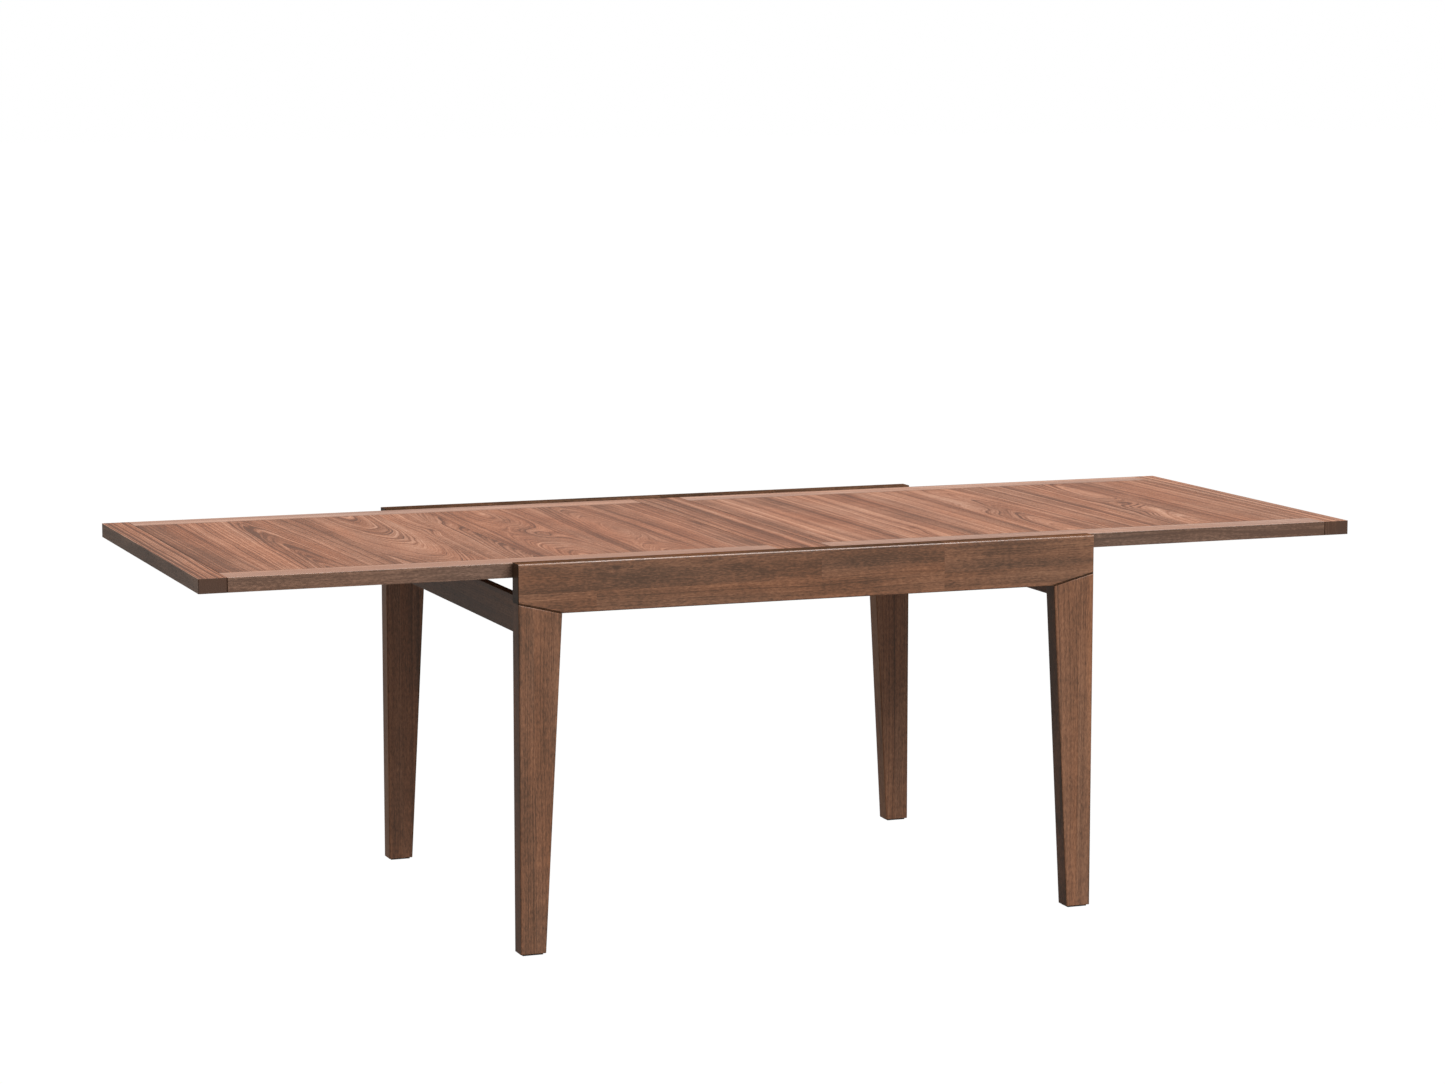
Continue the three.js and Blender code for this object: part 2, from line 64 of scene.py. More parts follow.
RAIL_ARRIS = 2.2 * MM  # long top edges of the long rails
BOARD_ARRIS = 1.3 * MM  # outer edges of the other boards
JOINT_ARRIS = 1.0 * MM  # edges that meet another board of the top
LEG_JOINT_ARRIS = 0.9 * MM  # edges round the joint of a leg and its rail
SLIDE_ARRIS = 0.6 * MM  # guides and runners
DOWEL_CHAMFER = 2.0 * MM
METAL_ARRIS = 0.3 * MM
TOUCHING = 0.6 * MM  # two places closer than this count as the same
BOARD_HEART = 70 * MM  # middle of a narrow board to the heart of its rings
BAND_HEART = 500 * MM  # middle of the table to the heart of an edge band's rings
GLUE_LINE_DROP = 58 * MM  # top of a long rail to the joint between its upper and lower staves
LEG_SEAM_INSET = 30 * MM  # outer face of a leg to the joint between its two staves
END_GRAIN_DARKER = 2.1  # in steps of tone, like the tones below
END_GRAIN_WEAR = -0.8  # end grain soaks up the lacquer and stays duller
DARKEST_GRAIN = 0.2  # on the scale of the colours below

# What each arris, or a long rail's top, is given: it lightens or darkens the wood, and makes it
# shine or stay dull. A rubbed arris is worn lighter; SHADED and the joint mark are painted shade, which
# darkens and dulls the wood.
RUBBED = 1
# Painted shade on rounded corners: darker and duller.
SHADED = -1
UNPOLISHED = -2
# Painted shade along the joints between boards: darker and duller.
PAINTED_JOINT_SHADE = -4

# Each kind of board starts its grain at its own number, and each board moves on from there.
SEEDS = {
    "leg": 9.1,
    "edge band": 30.0,
    "end rail": 40.0,
    "crossbar": 50.0,
    "stop": 60.0,
    "dowel": 70.0,
    "guide": 80.0,
    "runner": 84.0,
}

# ---- Colours -----------------------------------------------------------------------------------


def tint(red, green, blue):
    """A colour given in the usual 0 to 255 steps, as the linear colour that a shader wants."""
    def linear(step):
        share = step / 255
        return share / 12.92 if share <= 0.04045 else ((share + 0.055) / 1.055) ** 2.4
    return (linear(red), linear(green), linear(blue), 1.0)


VENEER_COLOURS = (
    (0.00, tint(44, 26, 18)),
    (0.28, tint(107, 61, 37)),
    (0.50, tint(141, 89, 63)),
    (0.72, tint(164, 113, 88)),
    (1.00, tint(190, 144, 119)),
)
BAND_COLOURS = (
    (0.00, tint(132, 94, 78)),
    (0.35, tint(160, 122, 105)),
    (0.65, tint(186, 146, 127)),
    (1.00, tint(205, 168, 148)),
)
DARK_COLOURS = (
    (0.00, tint(56, 41, 31)),
    (0.30, tint(86, 61, 46)),
    (0.60, tint(119, 82, 61)),
    (1.00, tint(152, 110, 83)),
)
EDGE_COLOURS = (
    (0.00, tint(64, 46, 38)),
    (0.30, tint(97, 73, 60)),
    (0.60, tint(130, 100, 84)),
    (1.00, tint(162, 129, 110)),
)
BEECH_COLOURS = (
    (0.00, tint(168, 126, 88)),
    (0.50, tint(194, 154, 114)),
    (1.00, tint(214, 178, 138)),
)

# ---- Node helpers ------------------------------------------------------------------------------


class Recipe:
    """A material with short calls that add its nodes."""

    def __init__(self, name):
        self.material = bpy.data.materials.new(name)
        self.material.use_nodes = True
        self.tree = self.material.node_tree
        self.shader = self.tree.nodes["Principled BSDF"]

    def feed(self, socket, value):
        if isinstance(value, bpy.types.NodeSocket):
            self.tree.links.new(value, socket)
        else:
            socket.default_value = value

    def add(self, kind, inputs=(), **settings):
        node = self.tree.nodes.new(kind)
        for name, value in settings.items():
            setattr(node, name, value)
        for key, value in dict(inputs).items():
            self.feed(node.inputs[key], value)
        return node

    def math(self, operation, *values):
        node = self.add("ShaderNodeMath", operation=operation)
        for socket, value in zip(node.inputs, values):
            self.feed(socket, value)
        return node.outputs[0]

    def vector(self, operation, *values):
        node = self.add("ShaderNodeVectorMath", operation=operation)
        for socket, value in zip(node.inputs, values):
            self.feed(socket, value)
        return node.outputs[0]

    def noise(self, place, stretch, detail, roughness=0.5):
        """Smooth noise whose cell count per metre is given along each axis."""
        scaled = self.vector("MULTIPLY", place, stretch)
        inputs = {"Vector": scaled, "Scale": 1.0, "Detail": detail, "Roughness": roughness}
        return self.add("ShaderNodeTexNoise", inputs).outputs[0]

    def line_noise(self, distance, per_metre, detail, roughness=0.5):
        """Noise along one distance, so that it is the same wherever that distance is."""
        scaled = self.math("MULTIPLY", distance, per_metre)
        inputs = {"W": scaled, "Scale": 1.0, "Detail": detail, "Roughness": roughness}
        return self.add("ShaderNodeTexNoise", inputs, noise_dimensions="1D").outputs[0]

    def spread(self, value, low, high, to_low=0.0, to_high=1.0):
        """The value moved from one range to another, and held inside it."""
        inputs = {0: value, 1: low, 2: high, 3: to_low, 4: to_high}
        return self.add("ShaderNodeMapRange", inputs).outputs[0]

    def ramp(self, value, stops):
        node = self.add("ShaderNodeValToRGB", {0: value})
        elements = node.color_ramp.elements
        while len(elements) < len(stops):
            elements.new(0.5)
        for element, (position, colour) in zip(elements, stops):
            element.position = position
            element.color = colour
        return node.outputs[0]

    def mix(self, share, a, b, blend="MIX"):
        node = self.add("ShaderNodeMix", data_type="RGBA", blend_type=blend)
        self.feed(node.inputs[0], share)
        self.feed(node.inputs[6], a)
        self.feed(node.inputs[7], b)
        return node.outputs[2]

    def bump(self, height, distance, strength):
        inputs = {"Height": height, "Distance": distance, "Strength": strength}
        return self.add("ShaderNodeBump", inputs).outputs[0]

    def set(self, **inputs):
        """Feeds the shader's own sockets, with spaces written as underscores."""
        for name, value in inputs.items():
            self.feed(self.shader.inputs[name.replace("_", " ")], value)


# ---- Wood --------------------------------------------------------------------------------------

# A stave is one run of wood in a board. It covers a stretch along two of the board's axes. The heart
# is where its growth rings centre across the grain, depth how far below the face they do, and lean how
# much that depth changes along the grain, which draws the rings out into arches.
Stave = namedtuple("Stave", "first second heart depth lean tone seed")
FAR = 9.0  # past any end of the table
EVERYWHERE = (-FAR, FAR)


def lay_grain(bm, along, across, face_at, staves):
    """Writes each corner's place in its stave's own wood, and each stave's tone, for the materials.
    The staves' depths are measured from the face at the given place."""
    through = ({X, Y, Z} - {along, across}).pop()
    grain = bm.loops.layers.float_vector.new("grain")
    leaf = bm.loops.layers.float_vector.new("leaf")
    arris = bm.faces.layers.int["arris"]
    for face in bm.faces:
        middle = face.calc_center_median()
        stave = next(
            s for s in staves
            if s.first[0] <= middle[across] <= s.first[1] and s.second[0] <= middle[along] <= s.second[1]
        )
        end_grain = abs(face.normal[along]) > 0.7
        tone = min(stave.tone, 0.0) - END_GRAIN_DARKER if end_grain else stave.tone
        for loop in face.loops:
            place = loop.vert.co
            depth = stave.depth + stave.lean * place[along] - abs(place[through] - face_at)
            loop[grain] = (place[across] - stave.heart, place[along], depth)
            loop[leaf] = (tone, stave.seed, face[arris] + (END_GRAIN_WEAR if end_grain else 0.0))


# A knot swells the rings into closed ovals round a point on the face, and darkens its middle.
Knot = namedtuple("Knot", "middle reach swell dark")


def knots_in(r, knots, spot):
    """The swelling of the rings, and the darkening, that all the knots give together."""
    swelling, darkening = 0.0, 0.0
    for knot in knots:
        offset = r.vector("SUBTRACT", spot, knot.middle)
        scaled = r.vector("DIVIDE", offset, knot.reach)
        dot = r.add("ShaderNodeVectorMath", {0: scaled, 1: scaled}, operation="DOT_PRODUCT")
        square = dot.outputs["Value"]
        near_it = r.math("EXPONENT", r.math("MULTIPLY", square, -1.0))
        eye = r.math("EXPONENT", r.math("MULTIPLY", square, -14.0))
        swelling = r.math("MULTIPLY_ADD", near_it, knot.swell, swelling)
        darkening = r.math("MULTIPLY_ADD", eye, knot.dark, darkening)
    return swelling, darkening


def wood(name, colours, streak=1.0, line=1.0, speck=1.0, mottle=1.0, roughness=0.42, gloss=0.25,
         knots=(), bands=None):
    """Lacquered wood. Rings follow the distance from each stave's heart, so they arch on a flat-cut face
    and run straight far from it. Fibre, pores and a cross-grain shimmer lie over them. Bands give the
    tone across a veneered panel, as pairs of a place along X and a tone from -1 to 1."""
    r = Recipe(name)

    # Where the point lies in its own stave, and on the table.
    raw = r.add("ShaderNodeAttribute", attribute_name="grain").outputs["Vector"]
    leaf = r.add("ShaderNodeAttribute", attribute_name="leaf").outputs["Vector"]
    tone, seed, arris = r.add("ShaderNodeSeparateXYZ", {0: leaf}).outputs
    shift = r.vector("MULTIPLY", r.add("ShaderNodeCombineXYZ", {0: seed, 1: seed, 2: seed}).outputs[0],
                     (3.1, 5.3, 7.7))
    place = r.vector("ADD", raw, shift)
    spot = r.add("ShaderNodeTexCoord").outputs["Object"]

    # How far out from the heart its ring is, bent by a slow wander, a ripple and any knots.
    wander = r.math("SUBTRACT", r.noise(place, (7, 1.3, 7), 1.0), 0.5)
    ripple = r.math("SUBTRACT", r.noise(place, (38, 5, 38), 1.0), 0.5)
    swelling, darkening = knots_in(r, knots, spot)
    across, _, depth = r.add("ShaderNodeSeparateXYZ", {0: raw}).outputs
    square = r.math("ADD", r.math("MULTIPLY", across, across), r.math("MULTIPLY", depth, depth))
    ring = r.math("MULTIPLY_ADD", wander, 0.024, r.math("SQRT", square))
    ring = r.math("MULTIPLY_ADD", ripple, 0.007, ring)
    ring = r.math("ADD", r.math("ADD", ring, swelling), seed)

    # Stripes that follow the rings, with a dark line at the end of each year's growth.
    broad = r.line_noise(ring, 50, 3.0, 0.6)
    fine = r.line_noise(ring, 420, 2.0, 0.6)
    years = r.math("MULTIPLY_ADD", r.line_noise(ring, 24, 1.0), 4.0, r.math("MULTIPLY", ring, 120))
    hard = r.spread(r.line_noise(r.math("FLOOR", years), 3.71, 0.0), 0.38, 0.66)
    late = r.math("MULTIPLY", r.math("POWER", r.math("FRACT", years), 4.0), hard)

    # What lies over the rings.
    fibre = r.noise(place, (700, 8, 700), 3.0, 0.6)
    grit = r.noise(place, (360, 110, 360), 2.0)
    pores = r.spread(r.noise(place, (1500, 90, 1500), 2.0), 0.57, 0.72)
    blotch = r.noise(place, (16, 4, 16), 2.0)
    shimmer = r.noise(place, (30, 55, 30), 1.0)

    # All of it added up, from dark to light.
    value = r.math("MULTIPLY_ADD", r.math("SUBTRACT", broad, 0.5), 0.8 * streak, 0.58)
    value = r.math("MULTIPLY_ADD", r.math("SUBTRACT", fine, 0.5), 0.9 * line, value)
    value = r.math("MULTIPLY_ADD", late, -0.62 * line, value)
    value = r.math("MULTIPLY_ADD", r.math("SUBTRACT", fibre, 0.5), 0.50, value)
    value = r.math("MULTIPLY_ADD", r.math("SUBTRACT", grit, 0.5), 0.40 * speck, value)
    value = r.math("MULTIPLY_ADD", r.math("SUBTRACT", blotch, 0.5), 0.45 * mottle, value)
    value = r.math("MULTIPLY_ADD", r.math("SUBTRACT", shimmer, 0.5), 0.18, value)
    value = r.math("MULTIPLY_ADD", tone, 0.22, value)
    value = r.math("MULTIPLY_ADD", pores, -0.26 * speck, value)
    if bands:
        first, last = bands[0][0], bands[-1][0]
        bent = r.math("MULTIPLY_ADD", wander, 0.05, r.add("ShaderNodeSeparateXYZ", {0: spot}).outputs[0])
        stops = [((x - first) / (last - first), ((t + 1) / 2,) * 3 + (1.0,)) for x, t in bands]
        shade = r.ramp(r.spread(bent, first, last), stops)
        value = r.math("MULTIPLY_ADD", r.math("SUBTRACT", shade, 0.5), 0.42, value)
    if knots:
        value = r.math("SUBTRACT", value, darkening)
    # Arris marks: a rubbed arris is lighter from wear; shaded corners and joint faces are darker as
    # painted shade; an unpolished rail top and end grain are darker.
    value = r.math("MULTIPLY_ADD", arris, 0.12, r.math("MAXIMUM", value, DARKEST_GRAIN))

    # The colour, in cooler and warmer patches, and the lacquer over it.
    warm = r.spread(r.noise(place, (14, 2, 14), 1.0), 0.35, 0.65)
    colour = r.ramp(value, colours)
    colour = r.mix(warm, r.mix(1.0, colour, (0.96, 1.0, 1.02, 1), "MULTIPLY"),
                   r.mix(1.0, colour, (1.05, 0.98, 0.90, 1), "MULTIPLY"))
    worn = r.spread(arris, 0.0, RUBBED)
    dull = r.spread(arris, UNPOLISHED, 0.0, 0.0, gloss)
    lacquer = r.math("MULTIPLY_ADD", fibre, 0.10, roughness - 0.05)
    lacquer = r.math("MULTIPLY_ADD", pores, 0.12, lacquer)
    lacquer = r.math("MULTIPLY_ADD", worn, -0.20, lacquer)
    height = r.math("MULTIPLY_ADD", pores, -1.0, r.math("MULTIPLY", fibre, 0.3))
    r.set(Base_Color=colour, Roughness=lacquer, Normal=r.bump(height, 0.06 * MM, 0.6))
    r.set(Specular_IOR_Level=r.math("MULTIPLY_ADD", worn, 0.75, dull))
    return r.material


LEFT_BANDS = (
    (-1.146, -1.0), (-1.120, -0.8), (-1.075, -0.4), (-1.058, 0.2), (-1.000, 0.4), (-0.965, 0.2),
    (-0.955, -0.6), (-0.930, -0.4), (-0.912, 0.1), (-0.850, 0.0), (-0.822, 0.1), (-0.815, -0.5),
    (-0.798, -0.2), (-0.785, 0.3), (-0.730, 0.2), (-0.650, 0.4), (-0.638, -0.4), (-0.620, 0.2),
    (-0.570, 0.3), (-0.540, 0.1), (-0.528, -0.9), (-0.510, 0.1), (-0.420, 0.3), (-0.362, 0.2),
    (-0.345, -0.4), (-0.318, -0.4), (-0.300, 0.3), (-0.210, 0.1), (-0.180, -0.4), (-0.130, 0.3),
    (-0.080, -0.1), (-0.054, -0.6),
)
RIGHT_BANDS = (
    (0.054, -0.3), (0.070, -0.7), (0.085, 0.0), (0.102, -0.2), (0.115, 0.4), (0.165, 0.3), (0.177, -0.5),
    (0.245, -0.2), (0.262, 0.3), (0.290, 0.1), (0.302, 0.6), (0.342, 0.6), (0.355, -0.1), (0.380, -0.5),
    (0.412, -0.6), (0.425, 0.3), (0.510, 0.3), (0.532, -0.5), (0.548, 0.3), (0.640, 0.2), (0.655, -0.4),
    (0.690, -0.4), (0.705, 0.0), (0.820, -0.1), (0.838, 0.3), (0.925, 0.2), (0.937, -0.6), (1.004, -0.3),
    (1.018, 0.2), (1.080, 0.1), (1.100, 0.3), (1.146, -0.2),
)
LEFT_KNOTS = (
    Knot((-0.425, -0.03, 0.75), (0.055, 0.19, 1.0), 0.032, 0.05),
    Knot((-0.410, -0.06, 0.75), (0.024, 0.07, 1.0), 0.010, 0.05),
    Knot((-0.255, -0.24, 0.75), (0.040, 0.13, 1.0), 0.022, 0.15),
    Knot((-0.602, 0.09, 0.75), (0.020, 0.08, 1.0), 0.012, 0.35),
    Knot((-0.062, 0.01, 0.75), (0.020, 0.16, 1.0), 0.006, 0.40),
)
RIGHT_KNOTS = (
    Knot((0.905, 0.00, 0.75), (0.040, 0.075, 1.0), 0.022, 0.50),
    Knot((0.880, -0.15, 0.75), (0.036, 0.070, 1.0), 0.012, 0.10),
    Knot((0.590, 0.06, 0.75), (0.030, 0.160, 1.0), 0.020, 0.20),
    Knot((0.320, -0.22, 0.75), (0.022, 0.080, 1.0), 0.012, 0.25),
)
RAIL_KNOTS = (
    Knot((-0.450, -0.475, 0.735), (0.090, 9.0, 0.012), 0.010, 0.15),
    Knot((-0.405, -0.475, 0.738), (0.035, 9.0, 0.012), 0.010, 0.35),
    Knot((-0.350, -0.475, 0.715), (0.040, 9.0, 0.012), 0.010, 0.25),
    Knot((-0.225, -0.475, 0.740), (0.060, 9.0, 0.014), 0.008, 0.20),
)

left_veneer = wood(
    "left_walnut_veneer", VENEER_COLOURS, streak=0.95, line=1.15, knots=LEFT_KNOTS, bands=LEFT_BANDS,
)
right_veneer = wood(
    "right_walnut_veneer", VENEER_COLOURS, streak=1.1, line=1.15, knots=RIGHT_KNOTS, bands=RIGHT_BANDS,
)
breadboard_walnut = wood("breadboard_walnut", VENEER_COLOURS, streak=1.4, line=1.7)
pale_walnut = wood("pale_walnut", BAND_COLOURS, streak=1.8, line=1.6, mottle=1.6)
edge_walnut = wood("edge_walnut", EDGE_COLOURS, streak=0.6, line=0.6, speck=1.6, mottle=1.3)
rail_walnut = wood(
    "rail_walnut", DARK_COLOURS, streak=0.6, line=0.35, speck=1.7, mottle=1.7, knots=RAIL_KNOTS,
)
dark_walnut = wood("dark_walnut", DARK_COLOURS, streak=0.6, line=0.5, speck=1.6, mottle=1.2)
beech = wood("planed_beech", BEECH_COLOURS, streak=0.5, line=0.5, roughness=0.6, gloss=0.3)


# ---- Metal, felt and nylon ---------------------------------------------------------------------


def metal(name, colour, roughness):
    r = Recipe(name)
    place = r.add("ShaderNodeTexCoord").outputs["Object"]
    cloud = r.noise(place, (90, 90, 90), 3.0)
    scratch = r.noise(place, (2500, 60, 60), 2.0)
    shade = r.mix(r.spread(cloud, 0.3, 0.7), colour, tuple(c * 0.78 for c in colour[:3]) + (1.0,))
    r.set(Base_Color=shade, Metallic=1.0)
    r.set(Roughness=r.math("MULTIPLY_ADD", scratch, 0.22, roughness - 0.06))
    r.set(Normal=r.bump(scratch, 0.01 * MM, 0.4))
    return r.material


def pressed_felt():
    r = Recipe("pressed_felt")
    place = r.add("ShaderNodeTexCoord").outputs["Object"]
    fuzz = r.noise(place, (1400, 1400, 1400), 3.0, 0.7)
    r.set(Base_Color=r.ramp(fuzz, ((0.3, tint(48, 44, 42)), (0.7, tint(92, 86, 82)))), Roughness=0.95)
    r.set(Normal=r.bump(fuzz, 0.4 * MM, 0.8))
    return r.material


def moulded_nylon():
    r = Recipe("moulded_nylon")
    place = r.add("ShaderNodeTexCoord").outputs["Object"]
    speckle = r.noise(place, (900, 900, 900), 2.0)
    r.set(Base_Color=r.ramp(speckle, ((0.3, tint(30, 27, 25)), (0.7, tint(44, 40, 37)))))
    r.set(Roughness=r.spread(speckle, 0.3, 0.7, 0.5, 0.65), Normal=r.bump(speckle, 0.05 * MM, 0.5))
    return r.material


zinc = metal("zinc_plate", tint(176, 178, 182), 0.34)
nickel = metal("satin_nickel", tint(186, 180, 170), 0.28)
felt = pressed_felt()
nylon = moulded_nylon()

# ---- Board making ------------------------------------------------------------------------------


def frame_copy(node):
    """The frame piece's own shape, its triangles joined into flat faces, ready for rounding."""
    source = frame["nodes"][node]
    bm = bmesh.new()
    bm.from_mesh(source.data)
    bm.transform(source.matrix_world)
    bmesh.ops.remove_doubles(bm, verts=bm.verts, dist=0.01 * MM)
    bmesh.ops.dissolve_limit(bm, angle_limit=math.radians(1), verts=bm.verts, edges=bm.edges)
    bm.faces.layers.int.new("arris")
    return bm


def round_over(bm, radius, segments, chosen, wear_and_painted_shade=RUBBED, sharper_than=0.3):
    """Rounds the edges that the test picks, given an edge's middle and its direction."""
    def picked(edge):
        a, b = edge.verts
        return chosen((a.co + b.co) / 2, (b.co - a.co).normalized())
    edges = [e for e in bm.edges if e.calc_face_angle(0) > sharper_than and picked(e)]
    made = bmesh.ops.bevel(
        bm, geom=edges, offset=radius, offset_type="OFFSET", segments=segments, profile=0.5,
        affect="EDGES", clamp_overlap=True, material=-1,
    )
    # The new faces carry the given mark: wear for a rubbed arris, painted shade for corners and joints.
    arris = bm.faces.layers.int["arris"]
    for face in made["faces"]:
        face[arris] = wear_and_painted_shade


def saw(bm, axis, places):
    """Cuts faces across at each place along an axis, without taking anything away."""
    normal = [0, 0, 0]
    normal[axis] = 1
    for place in places:
        point = [0, 0, 0]
        point[axis] = place
        geom = [*bm.verts, *bm.edges, *bm.faces]
        bmesh.ops.bisect_plane(bm, geom=geom, plane_co=point, plane_no=normal)


def finish_piece(bm, node, materials, suffix="wood"):
    """Makes the piece, sets it over its frame node, and gives its faces smooth shading."""
    mesh = bpy.data.meshes.new(f"{node}_{suffix}")
    bm.to_mesh(mesh)
    bm.free()
    mesh.shade_smooth()
    mesh.set_sharp_from_angle(angle=math.radians(40))
    for material in materials:
        mesh.materials.append(material)
    piece = bpy.data.objects.new(mesh.name, mesh)
    scene.collection.objects.link(piece)
    piece.modifiers.new("even shading", "WEIGHTED_NORMAL").keep_sharp = True
    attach(piece, BODY_OF[node])
    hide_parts(node)
    return piece


# ---- Long rails and legs -----------------------------------------------------------------------


def near(a, b):
    return abs(a - b) < TOUCHING


def outside_face(m, low, high):
    """Whether a place is on the front or back face of a board, and not on a hole inside it."""
    return near(m.y, low.y) or near(m.y, high.y)


RAIL_JOINTS = (-0.445, 0.015, 0.275)  # where the staves of a long rail end, along X


def long_rail(word, side):
    node = f"{word}_long_rail"
    low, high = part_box(node)
    leg_low, leg_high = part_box(f"{word}_right_leg")
    middle_y = (low.y + high.y) / 2

    def on_top(m, d):
        return m.z > high.z - 3 * MM and abs(d.x) > 0.9

    def is_outer(m):
        return side * m.y > side * middle_y

    bm = frame_copy(node)
    round_over(bm, RAIL_ARRIS, 4, lambda m, d: on_top(m, d) and is_outer(m))
    round_over(bm, RAIL_ARRIS, 3, lambda m, d: on_top(m, d) and not is_outer(m), wear_and_painted_shade=UNPOLISHED)
    arris = bm.faces.layers.int["arris"]
    for face in bm.faces:
        if face.normal.z > 0.9 and face.calc_center_median().z > high.z - MM:
            face[arris] = UNPOLISHED
    round_over(bm, BOARD_ARRIS, 3, lambda m, d: (
        near(m.z, low.z) and abs(d.x) > 0.99 and outside_face(m, low, high)
    ))
    # The vertical corners at the rail's ends get painted shade.
    round_over(bm, BOARD_ARRIS, 3, lambda m, d: near(abs(m.x), high.x) and abs(d.z) > 0.9, wear_and_painted_shade=SHADED)
    # The faces along the joint with a leg get painted shade.
    round_over(bm, LEG_JOINT_ARRIS, 1, lambda m, d: (
        leg_low.x - MM < abs(m.x) and m.z < leg_high.z + 2 * MM and abs(d.x) > 0.5 and abs(d.z) > 0.1
        and outside_face(m, low, high)
    ), wear_and_painted_shade=PAINTED_JOINT_SHADE)
    glue_line = high.z - GLUE_LINE_DROP
    left, middle, right = RAIL_JOINTS
    saw(bm, Z, [glue_line])
    saw(bm, X, RAIL_JOINTS)
    upper, lower = (glue_line, FAR), (-FAR, glue_line)
    staves = [
        Stave(upper, (-FAR, middle), glue_line + 22 * MM, 0.03, 0.02, -0.25, 1.3 + side),
        Stave(upper, (middle, right), glue_line - 60 * MM, 0.02, 0.0, -0.55, 2.9 + side),
        Stave(upper, (right, FAR), glue_line + 90 * MM, 0.03, 0.01, 0.1, 4.2 + side),
        Stave(lower, (-FAR, left), glue_line - 50 * MM, 0.02, 0.01, 0.35, 5.7 + side),
        Stave(lower, (left, right), glue_line - 80 * MM, 0.02, 0.0, 0.05, 6.1 + side),
        Stave(lower, (right, FAR), glue_line + 120 * MM, 0.03, 0.01, 0.15, 7.4 + side),
    ]
    lay_grain(bm, X, Z, low.y if side < 0 else high.y, staves)
    return finish_piece(bm, node, [rail_walnut])


# Painted light and shade: how much lighter or darker than the rest of its leg the face towards the left
# is painted, for how the light falls on it.
LEFT_FACE_PAINTED_LIGHT_AND_SHADE = {
    ("front", "left"): 0.3,
    ("front", "right"): -0.8,
    ("back", "left"): 1.1,
    ("back", "right"): 0.7,
}
LEFT_LEGS_DARKER = 0.45
# Painted light: the back legs' wood is made lighter, against the shade of the top that falls on them.
BACK_LEGS_PAINTED_LIGHT = 0.5


def leg(word, side, end_word, end):
    node = f"{word}_{end_word}_leg"
    low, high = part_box(node)
    outer = high.x if end > 0 else low.x
    rail_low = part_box(f"{word}_long_rail")[0].z
    bm = frame_copy(node)
    # The leg's vertical corners get painted shade.
    round_over(bm, BOARD_ARRIS, 3, lambda m, d: (
        abs(d.z) > 0.9 and low.z + 20 * MM < m.z < rail_low + 20 * MM and outside_face(m, low, high)
    ), wear_and_painted_shade=SHADED)
    # The faces along the joint with the rail get painted shade.
    round_over(bm, LEG_JOINT_ARRIS, 1, lambda m, d: (
        m.z > rail_low - MM and 0.5 < abs(d.x) < 0.999 and outside_face(m, low, high)
    ), wear_and_painted_shade=PAINTED_JOINT_SHADE)
    round_over(bm, JOINT_ARRIS, 2, lambda m, d: near(m.z, low.z))
    seam = outer - end * LEG_SEAM_INSET
    saw(bm, X, [seam])
    left, right = (-FAR, seam), (seam, FAR)
    seed = SEEDS["leg"] + 2 * side + end
    # The back legs' tone carries painted light; the left legs are darker.
    tone = (BACK_LEGS_PAINTED_LIGHT if side > 0 else 0.0) - (LEFT_LEGS_DARKER if end < 0 else 0.0)
    staves = [
        Stave(left, EVERYWHERE, outer - end * 160 * MM, 0.03, 0.02, tone - 0.05, seed),
        Stave(right, EVERYWHERE, outer + end * 110 * MM, 0.03, 0.015, tone + 0.1, seed + 0.6),
    ]
    lay_grain(bm, Z, X, low.y if side < 0 else high.y, staves)
    # Painted light and shade on each face towards the left.
    leaf = bm.loops.layers.float_vector["leaf"]
    for face in bm.faces:
        if face.normal.x < -0.7:
            for loop in face.loops:
                loop[leaf].x += LEFT_FACE_PAINTED_LIGHT_AND_SHADE[word, end_word]
    return finish_piece(bm, node, [dark_walnut])


# ---- Boards and bars with one run of grain -----------------------------------------------------


def plain_board(node, along, across, material, tone, seed, radius=BOARD_ARRIS):
    low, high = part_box(node)
    bm = frame_copy(node)
    round_over(bm, radius, 2, lambda m, d: True, sharper_than=0.6)
    heart = (low[across] + high[across]) / 2 + BOARD_HEART
    through = ({X, Y, Z} - {along, across}).pop()
    stave = Stave(EVERYWHERE, EVERYWHERE, heart, 0.03, 0.015, tone, seed)
    lay_grain(bm, along, across, high[through], [stave])
    return finish_piece(bm, node, [material])


# ---- The two halves of the top -----------------------------------------------------------------


def paint_faces(bm):
    """Slot 0 on the face that shows and underneath, slot 1 on the edges."""
    for face in bm.faces:
        face.material_index = 0 if abs(face.normal.z) > 0.9 else 1


